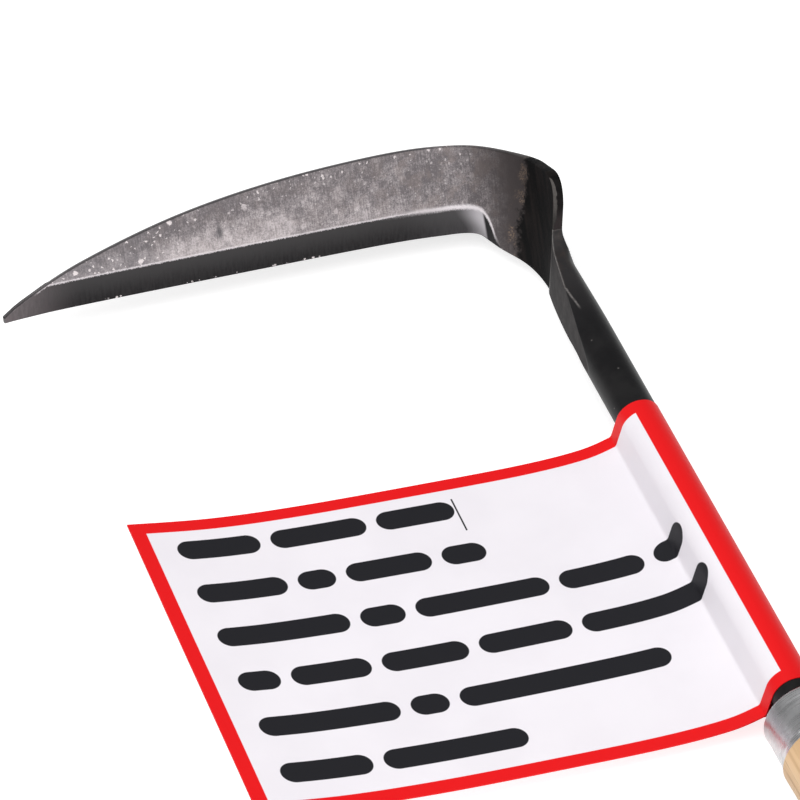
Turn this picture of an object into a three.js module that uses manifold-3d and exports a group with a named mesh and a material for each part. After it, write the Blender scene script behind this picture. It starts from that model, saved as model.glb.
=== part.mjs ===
// Twist-neck hand sickle: a bent steel blade butt-welded to the flattened end of a round shank, which is
// driven into a turned wooden handle and pinned there. A folded card label swings round the shank.
// Millimetres. +Y runs along the shank from the handle to the head, the blade points to -X, +Z is up.
// All dimensions are set from the weld, where the shank's axis meets the blade's neck. The finished group
// is then moved so that its origin is the middle of its footprint, at the height it rests on.
import * as THREE from 'three';
import Module from 'manifold-3d';
import { mergeVertices } from 'three/addons/utils/BufferGeometryUtils.js';

const wasm = await Module();
wasm.setup();

// ---------------------------------------------------------------------------- driving dimensions
const GAP = 0.3; // clearance between touching pieces

const PLATE = 3.0; // blade plate thickness
const EDGE = 0.4; // thickness left at the cutting edge
const NECK_X = 1.8; // mid-plane of the neck, beside the shank's axis
const LEAN = THREE.MathUtils.degToRad(60); // slope of the cutting plane above the ground
const BEND_START = 3; // where the neck starts to bend, along the blank
const BEND_RADIUS = 22; // mid-plane radius of the bend
const BEVEL_TOP = 17.7; // height of the bevel's upper line across the blank
const BEVEL_START = 22; // station along the blank where the bevel runs out
const BEVEL_FULL = 31; // station where the bevel has its full depth

const SHANK_R = 6.35;
const SHANK_WALL = 1.4;
const SHANK_END = -288; // inside the handle
const WELD_TOP = 12.0; // height of the flattened end over the shank's axis at the weld
const WELD_FOOT = 11.6; // depth of the flattened end below it
const WELD_FILLET = 5.0; // length over which the top falls from the weld to the shoulder
const SHOULDER = 7.0; // height of the shoulder behind the weld
const SHOULDER_LENGTH = 30; // length over which the shoulder comes down to the round shank
const FOOT_TAPER = 32; // length over which the underside comes up to it
const FLAT_HALF_WIDTH = 3.2; // half width of the flattened end
const TAPER = 36; // length over which the flattened end turns into the round shank
const FACET = 50; // length of the pressed facet on the blade's side
const SWELL = 9; // length over which the far side swells back out behind the weld
const BORE_END = -40; // where the bore is pinched shut
const WELD = 1.2; // length of the weld bead along the shank

const HANDLE_FRONT = -198;
const HANDLE_BACK = -336;
const FERRULE_LENGTH = 16;
const FERRULE_R = 12.2;
const FERRULE_WALL = 0.9;
const PIN_Y = -262;
const PIN_R = 2.0;
const HANG_HOLE_Y = -324;
const HANG_HOLE_R = 4.0;

const LABEL_TOP = -72.3; // the label's end nearest the blade
const LABEL_LENGTH = 118;
const CARD = 0.5; // one layer of the folded card
const LABEL_FREE_X = -150.7; // the free edge of the flag
const CREASE = [-7.9, -5.4]; // where the two layers meet beside the shank, in X and Z
const LEAVES_SHANK = THREE.MathUtils.degToRad(175); // where the upper layer leaves the shank, from +X
const RETURNS_TO_SHANK = THREE.MathUtils.degToRad(-105); // where the lower layer leaves it

// ---------------------------------------------------------------------------- helpers
const vec2 = (x, y) => new THREE.Vector2(x, y);
const vec3 = (x, y, z) => new THREE.Vector3(x, y, z);
const mix = THREE.MathUtils.lerp;
const clamp01 = (t) => THREE.MathUtils.clamp(t, 0, 1);

// A closed surface through rings that all have the same number of points.
// The ends are closed by strips between the two halves of the first and last ring.
function loft(rings) {
  const count = rings[0].length;
  const positions = rings.flat().flatMap((p) => [p.x, p.y, p.z]);
  const index = [];
  for (let i = 0; i + 1 < rings.length; i++) {
    for (let j = 0; j < count; j++) {
      const k = (j + 1) % count;
      const a = i * count;
      const b = a + count;
      index.push(a + j, b + j, b + k, a + j, b + k, a + k);
    }
  }
  const last = (rings.length - 1) * count;
  for (let j = 0; j < count / 2 - 1; j++) {
    const m = count - 1 - j;
    index.push(j, j + 1, m - 1, j, m - 1, m);
    index.push(last + j, last + m - 1, last + j + 1, last + j, last + m, last + m - 1);
  }
  const geometry = new THREE.BufferGeometry();
  geometry.setAttribute('position', new THREE.Float32BufferAttribute(positions, 3));
  geometry.setIndex(index);
  return facingOut(geometry);
}

function volume(geometry) {
  const position = geometry.attributes.position;
  const index = geometry.index;
  const [a, b, c] = [vec3(), vec3(), vec3()];
  let sum = 0;
  for (let i = 0; i < index.count; i += 3) {
    a.fromBufferAttribute(position, index.getX(i));
    b.fromBufferAttribute(position, index.getX(i + 1));
    c.fromBufferAttribute(position, index.getX(i + 2));
    sum += a.dot(b.cross(c)) / 6;
  }
  return sum;
}

// The same surface with its triangles turned over if they faced inwards.
function facingOut(geometry) {
  if (volume(geometry) < 0) {
    const index = geometry.index;
    for (let i = 0; i < index.count; i += 3) {
      const first = index.getX(i);
      index.setX(i, index.getX(i + 1));
      index.setX(i + 1, first);
    }
  }
  return geometry;
}

function welded(geometry) {
  const bare = geometry.clone();
  bare.deleteAttribute('normal');
  bare.deleteAttribute('uv');
  return facingOut(mergeVertices(bare, 1e-4));
}

function toSolid(geometry) {
  const merged = welded(geometry);
  return new wasm.Manifold(new wasm.Mesh({
    numProp: 3,
    vertProperties: new Float32Array(merged.attributes.position.array),
    triVerts: new Uint32Array(merged.index.array),
  }));
}

function toGeometry(solid) {
  const mesh = solid.getMesh();
  const geometry = new THREE.BufferGeometry();
  geometry.setAttribute('position', new THREE.BufferAttribute(mesh.vertProperties, 3));
  geometry.setIndex(new THREE.BufferAttribute(mesh.triVerts, 1));
  return geometry;
}

// A body of revolution about the shank's axis, from [radius, y] pairs that start and end on the axis
// or close on themselves.
function turned(profile, segments) {
  return welded(new THREE.LatheGeometry(profile.map(([r, y]) => vec2(r, y)), segments));
}

function rod(radius, length, segments) {
  return new THREE.CylinderGeometry(radius, radius, length, segments);
}

// ---------------------------------------------------------------------------- blade
// The blade is drawn as a flat blank, s along it and h across it, and then bent. The blank's rulings lie
// along the slope of the cutting plane, so the neck stays in the vertical plane beside the shank.
const RULING = vec3(0, Math.cos(LEAN), Math.sin(LEAN));
const FORWARD = vec3(0, Math.sin(LEAN), -Math.cos(LEAN));
const BEND_LENGTH = BEND_RADIUS * Math.PI / 2;

function bend(s, h, offset) {
  const angle = THREE.MathUtils.clamp((s - BEND_START) / BEND_RADIUS, 0, Math.PI / 2);
  const radius = BEND_RADIUS + offset;
  const before = Math.min(s, BEND_START);
  const beyond = Math.max(0, s - BEND_START - BEND_LENGTH);
  const x = NECK_X - BEND_RADIUS + radius * Math.cos(angle) - beyond;
  const forward = before + radius * Math.sin(angle);
  return vec3(x, 0, 0).addScaledVector(FORWARD, forward).addScaledVector(RULING, h);
}

// A point of the neck's vertical rear edge, at height z above the shank's axis.
const rearEdge = (z) => vec2(-z * Math.cos(LEAN), z * Math.sin(LEAN));

const NECK_BOTTOM = rearEdge(-10.6);
const HEEL_START = rearEdge(21);
const HEEL_END = vec2(-5, 28.1);
const heel = new THREE.QuadraticBezierCurve(HEEL_START, vec2(-14.2, 27.5), HEEL_END);
const back = new THREE.SplineCurve([
  HEEL_END, vec2(14, 30.5), vec2(32, 34.45), vec2(54, 36.15), vec2(88, 34.65), vec2(120, 30.1),
  vec2(150, 22.1), vec2(168, 14.6), vec2(175, 10.6),
]);
const underside = new THREE.SplineCurve([
  NECK_BOTTOM, vec2(14, -3.3), vec2(22, 1.2), vec2(27, 4.4), vec2(31.5, 7.5), vec2(42, 8.6), vec2(60, 9.3),
  vec2(100, 9.4), vec2(150, 9.3), vec2(175, 8.8),
]);

// The curve's point at station s: the curve runs one way along s, so halving finds it.
function pointAt(curve, s) {
  let [low, high] = [0, 1];
  for (let i = 0; i < 30; i++) {
    const middle = (low + high) / 2;
    if (curve.getPoint(middle).x < s) {
      low = middle;
    } else {
      high = middle;
    }
  }
  return curve.getPoint((low + high) / 2);
}

function bladeRing(bottom, top) {
  const full = clamp01((bottom.x - BEVEL_START) / (BEVEL_FULL - BEVEL_START));
  const height = top.y - bottom.y;
  const bevel = clamp01(mix(0.25, (BEVEL_TOP - bottom.y) / height, full));
  const steps = [0, bevel / 2, bevel, mix(bevel, 1, 0.25), mix(bevel, 1, 0.5), mix(bevel, 1, 0.75), 1];
  const outer = PLATE / 2;
  const place = (f, offset) => bend(mix(bottom.x, top.x, f), mix(bottom.y, top.y, f), offset);
  const innerOffset = (f) => {
    const ground = clamp01(1 - f / bevel) * full;
    return mix(-outer, outer - EDGE, ground);
  };
  return [
    ...steps.map((f) => place(f, outer)),
    ...steps.toReversed().map((f) => place(f, innerOffset(f))),
  ];
}

function bladeGeometry() {
  const rings = [];
  const HEEL_STEPS = 5;
  const NECK_STEPS = 14;
  const CUTTING_STEPS = 20;
  const underHeel = NECK_BOTTOM.x + 4;
  const bendEnd = BEND_START + BEND_LENGTH;
  for (let i = 0; i < HEEL_STEPS; i++) {
    const bottom = pointAt(underside, mix(NECK_BOTTOM.x, underHeel, i / HEEL_STEPS));
    rings.push(bladeRing(i ? bottom : NECK_BOTTOM, heel.getPoint(i / HEEL_STEPS)));
  }
  for (let i = 0; i < NECK_STEPS; i++) {
    const bottom = pointAt(underside, mix(underHeel, bendEnd, i / NECK_STEPS));
    rings.push(bladeRing(bottom, pointAt(back, mix(HEEL_END.x, bendEnd, i / NECK_STEPS))));
  }
  for (let i = 0; i <= CUTTING_STEPS; i++) {
    const s = mix(bendEnd, 175, i / CUTTING_STEPS);
    rings.push(bladeRing(pointAt(underside, s), pointAt(back, s)));
  }
  return loft(rings);
}

// ---------------------------------------------------------------------------- shank
// The shank's section at y: a block with rounded corners at the weld that turns into the round shank.
function shankSection(y) {
  const back = -y;
  const shoulder = THREE.MathUtils.smoothstep(back - WELD_FILLET, 0, SHOULDER_LENGTH);
  const fillet = Math.sqrt(1 - (1 - clamp01(back / WELD_FILLET)) ** 2);
  return {
    centre: NECK_X * (1 - clamp01(back / TAPER)) ** 2,
    top: mix(WELD_TOP, mix(SHOULDER, SHANK_R, shoulder), fillet),
    foot: mix(WELD_FOOT, SHANK_R, clamp01(back / FOOT_TAPER)),
    halfWidth: mix(FLAT_HALF_WIDTH, SHANK_R, Math.sin(clamp01(back / TAPER) * Math.PI / 2)),
    innerFace: mix(NECK_X - PLATE / 2, -SHANK_R, clamp01(back / FACET) ** 0.8),
    outerFace: mix(NECK_X + PLATE / 2, NECK_X + SHANK_R, clamp01((back - WELD) / SWELL)),
    innerSquareness: mix(6, 2, clamp01(back / TAPER)),
    outerSquareness: mix(2, 6, (1 - clamp01(back / SWELL)) ** 2),
  };
}

function shankRing(y, inset, sides) {
  const section = shankSection(y);
  const ring = [];
  for (let i = 0; i < sides; i++) {
    const angle = (i + 0.5) / sides * 2 * Math.PI;
    const [across, up] = [Math.cos(angle), Math.sin(angle)];
    const power = 2 / (across > 0 ? section.outerSquareness : section.innerSquareness);
    const x = section.centre + Math.sign(across) * Math.abs(across) ** power * (section.halfWidth - inset);
    const z = Math.sign(up) * Math.abs(up) ** power * ((up > 0 ? section.top : section.foot) - inset);
    ring.push(vec3(THREE.MathUtils.clamp(x, section.innerFace + inset, section.outerFace - inset), y, z));
  }
  return ring;
}

function shankGeometry() {
  const SIDES = 28;
  const front = -GAP - WELD - GAP;
  const rings = [];
  const pinch = shankRing(BORE_END, SHANK_WALL, SIDES).map((p) => vec3(p.x * 0.1, p.y, p.z * 0.1));
  rings.push(pinch, shankRing(BORE_END - 6, SHANK_WALL, SIDES), shankRing(SHANK_END, SHANK_WALL, SIDES));
  rings.push(shankRing(SHANK_END, 0, SIDES));
  const STEPS = 16;
  for (let i = STEPS; i >= 0; i--) {
    rings.push(shankRing(mix(front, -FACET, (i / STEPS) ** 1.8), 0, SIDES));
  }
  const pinHole = toSolid(rod(PIN_R + GAP, 4 * SHANK_R, 20).rotateX(Math.PI / 2).translate(0, PIN_Y, 0));
  return toGeometry(toSolid(loft(rings)).subtract(pinHole));
}

function weldGeometry() {
  return loft([shankRing(-GAP - WELD, 0.1, 28), shankRing(-GAP - WELD / 2, 0, 28), shankRing(-GAP, 0.1, 28)]);
}

// ---------------------------------------------------------------------------- handle
function handleGeometry() {
  const shoulder = HANDLE_FRONT - FERRULE_LENGTH - GAP;
  const socketR = SHANK_R + GAP;
  const socketEnd = SHANK_END - GAP;
  const swell = new THREE.SplineCurve([
    vec2(FERRULE_R + 0.6, shoulder), vec2(12.6, -232), vec2(13.9, -272), vec2(13.0, -306), vec2(14.2, -326),
    vec2(13.2, HANDLE_BACK + 2.5), vec2(10.5, HANDLE_BACK),
  ]);
  const neckR = FERRULE_R - FERRULE_WALL - GAP;
  const profile = [
    [0, socketEnd], [socketR, socketEnd], [socketR, HANDLE_FRONT], [neckR, HANDLE_FRONT], [neckR, shoulder],
    ...swell.getPoints(26).map((p) => [p.x, p.y]),
    [0, HANDLE_BACK],
  ];
  const body = toSolid(turned(profile, 36));
  const across = (radius, y) => toSolid(rod(radius, 40, 24).rotateX(Math.PI / 2).translate(0, y, 0));
  return toGeometry(body.subtract(across(PIN_R + GAP, PIN_Y)).subtract(across(HANG_HOLE_R, HANG_HOLE_Y)));
}

function ferruleGeometry() {
  const back = HANDLE_FRONT - FERRULE_LENGTH;
  const inner = FERRULE_R - FERRULE_WALL;
  const edge = 0.5;
  return turned([
    [inner, HANDLE_FRONT - GAP], [FERRULE_R - edge, HANDLE_FRONT - GAP], [FERRULE_R, HANDLE_FRONT - GAP - edge],
    [FERRULE_R, back], [inner, back], [inner, HANDLE_FRONT - GAP],
  ], 36);
}

function pinGeometry() {
  return rod(PIN_R, 27.2, 20).rotateX(Math.PI / 2).translate(0, PIN_Y, 0);
}

// ---------------------------------------------------------------------------- label
// The card passes round the shank, meets itself at the crease and runs on as a two-layer flag.
function labelGeometry() {
  const FLAG_STEPS = 30;
  const loopR = SHANK_R + GAP;
  const flag = new THREE.SplineCurve([
    vec2(...CREASE), vec2(-17, -7.9), vec2(-34, -8.85), vec2(-62, -8.3), vec2(-98, -6.6), vec2(-126, -4.1),
    vec2(LABEL_FREE_X, 0.2),
  ]).getPoints(FLAG_STEPS);
  const side = (offset) => flag.map((p, i) => {
    const [before, after] = [flag[Math.max(i - 1, 0)], flag[Math.min(i + 1, FLAG_STEPS)]];
    const along = after.clone().sub(before).normalize();
    return p.clone().add(vec2(along.y, -along.x).multiplyScalar(offset));
  });
  const arc = (radius) => Array.from({ length: 19 }, (_, i) => {
    const angle = mix(LEAVES_SHANK, RETURNS_TO_SHANK, i / 18);
    return vec2(radius * Math.cos(angle), radius * Math.sin(angle));
  });
  const extruded = (outline, depth) => {
    const options = { depth, bevelEnabled: false, steps: 1 };
    return new THREE.ExtrudeGeometry(new THREE.Shape(outline), options).rotateX(Math.PI / 2);
  };
  const outside = [...side(CARD).toReversed(), ...arc(loopR + CARD), ...side(-CARD)];
  const inside = [vec2(CREASE[0] + 0.65, CREASE[1] + 0.05), ...arc(loopR)];
  const body = toSolid(extruded(outside, LABEL_LENGTH));
  const space = toSolid(extruded(inside, LABEL_LENGTH + 2).translate(0, 1, 0));
  return toGeometry(body.subtract(space)).translate(0, LABEL_TOP, 0);
}

// ---------------------------------------------------------------------------- assembly
const finish = (color, roughness, metalness) => new THREE.MeshStandardMaterial({ color, roughness, metalness });
const blackSteel = finish(0x17171a, 0.45, 0.3);

const pieces = [
  ['blade', bladeGeometry(), finish(0x8b8583, 0.45, 0.9)],
  ['weld_seam', weldGeometry(), blackSteel],
  ['shank', shankGeometry(), blackSteel],
  ['ferrule', ferruleGeometry(), finish(0xa9abad, 0.35, 0.9)],
  ['handle', handleGeometry(), finish(0xc9a26e, 0.6, 0)],
  ['handle_pin', pinGeometry(), finish(0x9b9c9e, 0.4, 0.9)],
  ['label_card', labelGeometry(), finish(0xf2f2f5, 0.5, 0)],
];

const sickle = new THREE.Group();
for (const [name, geometry, material] of pieces) {
  const mesh = new THREE.Mesh(geometry, material);
  mesh.name = name;
  sickle.add(mesh);
}

const extent = new THREE.Box3().setFromObject(sickle);
const middle = extent.getCenter(vec3());
sickle.position.set(-middle.x, -middle.y, -extent.min.z);

export default sickle;
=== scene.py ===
"""The looks of the twist-neck hand sickle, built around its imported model.

Shapes are worked out in millimetres from the weld, where the shank's axis meets the blade's neck, and
put into the frame by place(). +Y runs along the shank to the head, the blade points to -X, +Z is up.
"""

import math

import bpy
from mathutils import Matrix, Vector, noise


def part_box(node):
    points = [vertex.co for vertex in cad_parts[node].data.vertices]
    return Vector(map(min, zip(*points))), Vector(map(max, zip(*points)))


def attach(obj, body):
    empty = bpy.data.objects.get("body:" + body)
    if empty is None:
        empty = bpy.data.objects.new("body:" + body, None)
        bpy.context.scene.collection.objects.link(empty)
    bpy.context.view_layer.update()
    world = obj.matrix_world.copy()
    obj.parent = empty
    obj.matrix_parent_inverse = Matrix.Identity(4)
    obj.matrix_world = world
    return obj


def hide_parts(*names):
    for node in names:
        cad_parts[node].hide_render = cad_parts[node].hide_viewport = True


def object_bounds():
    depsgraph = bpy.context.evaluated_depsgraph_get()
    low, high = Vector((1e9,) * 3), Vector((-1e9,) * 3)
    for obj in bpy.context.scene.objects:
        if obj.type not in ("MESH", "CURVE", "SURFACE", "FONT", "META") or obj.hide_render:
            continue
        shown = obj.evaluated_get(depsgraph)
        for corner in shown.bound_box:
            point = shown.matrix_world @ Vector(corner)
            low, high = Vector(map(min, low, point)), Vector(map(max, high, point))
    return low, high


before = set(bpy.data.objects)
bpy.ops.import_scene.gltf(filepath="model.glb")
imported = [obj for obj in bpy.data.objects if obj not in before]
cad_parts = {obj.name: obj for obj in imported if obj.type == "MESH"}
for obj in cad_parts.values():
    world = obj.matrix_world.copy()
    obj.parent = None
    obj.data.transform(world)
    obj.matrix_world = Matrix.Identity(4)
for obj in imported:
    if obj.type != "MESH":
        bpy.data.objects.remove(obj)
cad_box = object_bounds()

# ------------------------------------------------------------------ the frame's own places
handle_low, handle_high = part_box("handle")
blade_low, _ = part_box("blade")
ferrule_low, ferrule_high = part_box("ferrule")
pin_low, pin_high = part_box("handle_pin")
shank_low, shank_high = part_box("shank")
label_low, label_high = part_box("label_card")

MM = 0.001
AXIS_X = (handle_low.x + handle_high.x) / 2
AXIS_Z = (handle_low.z + handle_high.z) / 2
WELD = Vector((AXIS_X, blade_low.y, AXIS_Z))


def place(x, y, z):
    """A point given in millimetres from the weld, in the frame's metres."""
    return Vector((x * MM, y * MM, z * MM)) + WELD


def along_shank(y):
    """A place along the frame's Y axis, in millimetres from the weld."""
    return (y - WELD.y) / MM


# ------------------------------------------------------------------ driving dimensions, in millimetres
PLATE = 3.0
EDGE = 0.16
NECK_X = 1.8
LEAN = math.radians(60)
BEND_START = 3.0
BEND_RADIUS = 22.0
BEND_LENGTH = BEND_RADIUS * math.pi / 2
TIP_S = 175.0
BEVEL_SLOPE = 0.34
ROUNDING = 0.28
NECK_BOTTOM_Z = -10.6
HEEL_START_Z = 21.0
CHAMFER_DEPTH = 1.15
CHAMFER_REACH = 0.7
CHAMFER_THIN = 0.24
CHAMFER_LOW_Z = -4.0

SHANK_R = 6.35
FLAT_HALF_WIDTH = 3.2
WELD_TOP = 12.0
WELD_FOOT = 11.6
WELD_FILLET = 5.0
SHOULDER = 7.0
SHOULDER_LENGTH = 30.0
FOOT_TAPER = 32.0
TAPER = 36.0
FACET = 50.0
SWELL = 9.0
WELD_LENGTH = 1.2
SHANK_SIDES = 160
LINE_WIDTH = 0.3
LINE_LEAVES_Y = -20.0
LINE_ENDS_Y = -30.0

GAP = 0.3
FERRULE_R = (ferrule_high.x - ferrule_low.x) / 2 / MM
FERRULE_WALL = 0.9
FERRULE_SEAT = 1.2
PIN_Y = along_shank((pin_low.y + pin_high.y) / 2)
PIN_R = (pin_high.x - pin_low.x) / 2 / MM
PIN_CLEARANCE = 0.06
PIN_SIDES = 40
HANG_HOLE_INSET = 12
TURNED_SIDES = 96
HANDLE_STEPS = 90
HANDLE_SHARP = 35

SMUDGE_S = 108.3
SMUDGE_H = 23.0
SMUDGE_SQUASH = 0.45

CARD = 0.22
LABEL_LOOP_R = SHANK_R + 0.15
LABEL_BORDER = 4.3


# ------------------------------------------------------------------ colours, linear
FACE_DARK = (0.12, 0.108, 0.113)
FACE_LIGHT = (0.50, 0.455, 0.458)
FACE_BROWN = (0.20, 0.165, 0.155)
FACE_BLUE = (0.13, 0.125, 0.135)
FACE_SMUDGE = (0.06, 0.058, 0.062)
SPOT_PALE = (0.62, 0.57, 0.57)
BLADE_ROUGHNESS = 0.5
SCALE_ROUGHNESS = 0.72
BLADE_METALLIC = 0.6
# painted shade where the face turns into the bend
NECK_PAINTED_SHADE = (0.055, 0.047, 0.047)
FLECK_BROWN = (0.22, 0.16, 0.12)
SCALE_BLACK = (0.003, 0.003, 0.0033)
SCALE_BROWN = (0.010, 0.008, 0.0078)
# the bevel's tones: painted dark for its dark reflection, a painted highlight and a painted pocket shade
BEVEL_PAINTED_DARK_LOW = (0.013, 0.012, 0.013)
BEVEL_TIP = (0.15, 0.13, 0.135)
BEVEL_PAINTED_DARK_HIGH = (0.046, 0.044, 0.045)
BEVEL_PAINTED_HIGHLIGHT = (0.42, 0.40, 0.42)
BEVEL_PAINTED_POCKET_SHADE = (0.022, 0.021, 0.022)
# a burr line with a painted highlight near the bevel's run-out
BURR_AND_HIGHLIGHT = (0.66, 0.62, 0.64)
BACK_EDGE = (0.10, 0.092, 0.096)
# painted highlight on the heel's chamfer
CHAMFER_PAINTED_HIGHLIGHT = (0.078, 0.072, 0.068)
REAR_WORN = (0.030, 0.024, 0.0245)
PAINT_BLACK = (0.006, 0.0058, 0.0065)
PAINT_WORN = (0.012, 0.0115, 0.012)
PAINT_DULL = (0.026, 0.0245, 0.0255)
PAINT_BROWN = (0.040, 0.031, 0.028)
PAINT_ROUGHNESS = 0.42
FACET_ROUGHNESS = 0.7
# dust specks, and the pale line's worn paint and painted highlight
DUST_AND_HIGHLIGHT = (0.16, 0.15, 0.145)
FACET_DARK = (0.012, 0.0104, 0.0106)
FACET_LIGHT = (0.031, 0.027, 0.0275)
WOOD_SUMMER = (0.50, 0.31, 0.15)
WOOD_SPRING = (0.64, 0.44, 0.25)
WOOD_FIBRE = (0.36, 0.20, 0.09)
WOOD_PORE = (0.16, 0.085, 0.04)
FERRULE_DARK = (0.42, 0.42, 0.43)
FERRULE_LIGHT = (0.6, 0.6, 0.61)
PIN_DARK = (0.4, 0.4, 0.41)
PIN_LIGHT = (0.55, 0.55, 0.56)
CARD_WHITE = (0.74, 0.71, 0.75)
CARD_WHITE_LIGHT = (0.77, 0.74, 0.78)
RED = (0.70, 0.004, 0.006)
INK = (0.010, 0.010, 0.013)


# ------------------------------------------------------------------ small geometry tools
def lerp(a, b, t):
    return a + (b - a) * t


def clamp(value, low=0.0, high=1.0):
    return max(low, min(high, value))


def smooth(low, high, value):
    t = clamp((value - low) / (high - low))
    return t * t * (3 - 2 * t)


def spline(points, t):
    """A point of the Catmull-Rom curve through 2-D points, with t from 0 to 1."""
    last = len(points) - 1
    place_on = t * last
    i = min(int(place_on), last - 1)
    w = place_on - i
    p0, p1, p2, p3 = (points[clamp(k, 0, last)] for k in (i - 1, i, i + 1, i + 2))

    def axis(a, b, c, d):
        v0 = (c - a) / 2
        v1 = (d - b) / 2
        return (2 * b - 2 * c + v0 + v1) * w**3 + (-3 * b + 3 * c - 2 * v0 - v1) * w**2 + v0 * w + b

    return (axis(p0[0], p1[0], p2[0], p3[0]), axis(p0[1], p1[1], p2[1], p3[1]))


def at_station(points, s):
    """The curve's point at station s, for a curve that runs one way along s."""
    low, high = 0.0, 1.0
    for _ in range(26):
        middle = (low + high) / 2
        if spline(points, middle)[0] < s:
            low = middle
        else:
            high = middle
    return spline(points, (low + high) / 2)


def new_object(name, vertices, faces, sharp):
    """A smooth-shaded mesh object, with its edges sharp where they turn by more than that many degrees."""
    mesh = bpy.data.meshes.new(name)
    mesh.from_pydata([tuple(v) for v in vertices], [], faces)
    mesh.validate()
    mesh.shade_smooth()
    mesh.set_sharp_from_angle(angle=math.radians(sharp))
    obj = bpy.data.objects.new(name, mesh)
    bpy.context.scene.collection.objects.link(obj)
    return obj


def ring_faces(rings, count, closed_ends=True):
    """Quads between rings of count points, and strips across the first and the last ring."""
    faces = []
    for i in range(rings - 1):
        for j in range(count):
            k = (j + 1) % count
            faces.append((i * count + j, i * count + k, (i + 1) * count + k, (i + 1) * count + j))
    if closed_ends:
        last = (rings - 1) * count
        for j in range(count // 2 - 1):
            m = count - 1 - j
            faces.append((j, m, m - 1, j + 1))
            faces.append((last + j, last + j + 1, last + m - 1, last + m))
    return faces


def facing_out(obj):
    """Turns the faces over if they enclose a negative volume."""
    mesh = obj.data
    total = 0.0
    for face in mesh.polygons:
        corners = [mesh.vertices[i].co for i in face.vertices]
        for a, b in zip(corners[1:], corners[2:]):
            total += corners[0].dot(a.cross(b))
    if total < 0:
        mesh.flip_normals()
    return obj


def float_layer(obj, name, values):
    layer = obj.data.attributes.new(name, "FLOAT", "POINT")
    layer.data.foreach_set("value", values)


# ------------------------------------------------------------------ material tools
class Finish:
    """A node material with one Principled shader, and short ways to add nodes to it."""

    def __init__(self, name):
        self.material = bpy.data.materials.new(name)
        self.material.use_nodes = True
        self.tree = self.material.node_tree
        self.shader = next(n for n in self.tree.nodes if n.type == "BSDF_PRINCIPLED")

    def add(self, kind, settings=None, **inputs):
        node = self.tree.nodes.new(kind)
        for key, value in (settings or {}).items():
            setattr(node, key, value)
        for key, value in inputs.items():
            self.feed(node.inputs[key.replace("_", " ")], value)
        return node

    def feed(self, socket, value):
        if isinstance(value, bpy.types.NodeSocket):
            self.tree.links.new(value, socket)
        elif socket.type == "RGBA" and len(value) == 3:
            socket.default_value = (*value, 1)
        else:
            socket.default_value = value

    def set(self, **inputs):
        for key, value in inputs.items():
            self.feed(self.shader.inputs[key.replace("_", " ")], value)

    def attribute(self, name):
        return self.add("ShaderNodeAttribute", {"attribute_name": name}).outputs["Fac"]

    def object_space(self):
        return self.add("ShaderNodeTexCoord").outputs["Object"]

    def vector(self, x, y, z):
        node = self.add("ShaderNodeCombineXYZ")
        for socket, value in zip(node.inputs, (x, y, z)):
            self.feed(socket, value)
        return node.outputs[0]

    def stretched(self, vector, scale):
        node = self.add("ShaderNodeVectorMath", {"operation": "MULTIPLY"})
        self.feed(node.inputs[0], vector)
        node.inputs[1].default_value = scale
        return node.outputs[0]

    def noise(self, vector, scale, detail, roughness, distortion=0.0):
        node = self.add("ShaderNodeTexNoise", Scale=scale, Detail=detail, Roughness=roughness,
                        Distortion=distortion)
        self.feed(node.inputs["Vector"], vector)
        return node.outputs["Fac"]

    def voronoi(self, vector, scale):
        node = self.add("ShaderNodeTexVoronoi", Scale=scale)
        self.feed(node.inputs["Vector"], vector)
        return node

    def math(self, operation, a, b=0.0):
        node = self.add("ShaderNodeMath", {"operation": operation})
        self.feed(node.inputs[0], a)
        self.feed(node.inputs[1], b)
        return node.outputs[0]

    def span(self, value, low, high, out_low=0.0, out_high=1.0):
        """value carried from low..high to out_low..out_high, smoothly, and held beyond the ends."""
        node = self.add("ShaderNodeMapRange", {"interpolation_type": "SMOOTHSTEP"})
        self.feed(node.inputs["Value"], value)
        limits = {"From Min": low, "From Max": high, "To Min": out_low, "To Max": out_high}
        for key, number in limits.items():
            node.inputs[key].default_value = number
        return node.outputs["Result"]

    def product(self, *factors):
        """The factors multiplied together."""
        result = factors[0]
        for factor in factors[1:]:
            result = self.math("MULTIPLY", result, factor)
        return result

    def blend(self, factor, a, b):
        """The colour between a, at factor 0, and b, at factor 1."""
        node = self.add("ShaderNodeMix", {"data_type": "RGBA"})
        factor_socket, a_socket, b_socket = node.inputs[0], node.inputs[6], node.inputs[7]
        self.feed(factor_socket, factor)
        self.feed(a_socket, a)
        self.feed(b_socket, b)
        return node.outputs[2]

    def bump(self, height, strength, distance):
        node = self.add("ShaderNodeBump", Strength=strength, Distance=distance, Height=height)
        return node.outputs["Normal"]


def wear(obj, finish):
    obj.data.materials.clear()
    obj.data.materials.append(finish.material)


# ------------------------------------------------------------------ blade
RULING = Vector((0, math.cos(LEAN), math.sin(LEAN)))
FORWARD = Vector((0, math.sin(LEAN), -math.cos(LEAN)))


def bend(s, h, offset):
    """A point of the bent blade: s along its flat blank, h across it, offset towards the far face."""
    angle = clamp((s - BEND_START) / BEND_RADIUS, 0, math.pi / 2)
    radius = BEND_RADIUS + offset
    beyond = max(0.0, s - BEND_START - BEND_LENGTH)
    x = NECK_X - BEND_RADIUS + radius * math.cos(angle) - beyond
    forward = min(s, BEND_START) + radius * math.sin(angle)
    point = Vector((x, 0, 0)) + FORWARD * forward + RULING * h
    return place(*point)


def rear_edge(z):
    """The place on the blank of the rear edge's point that is z above the shank's axis, up the lean."""
    return (-z * math.cos(LEAN), z * math.sin(LEAN))


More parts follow.
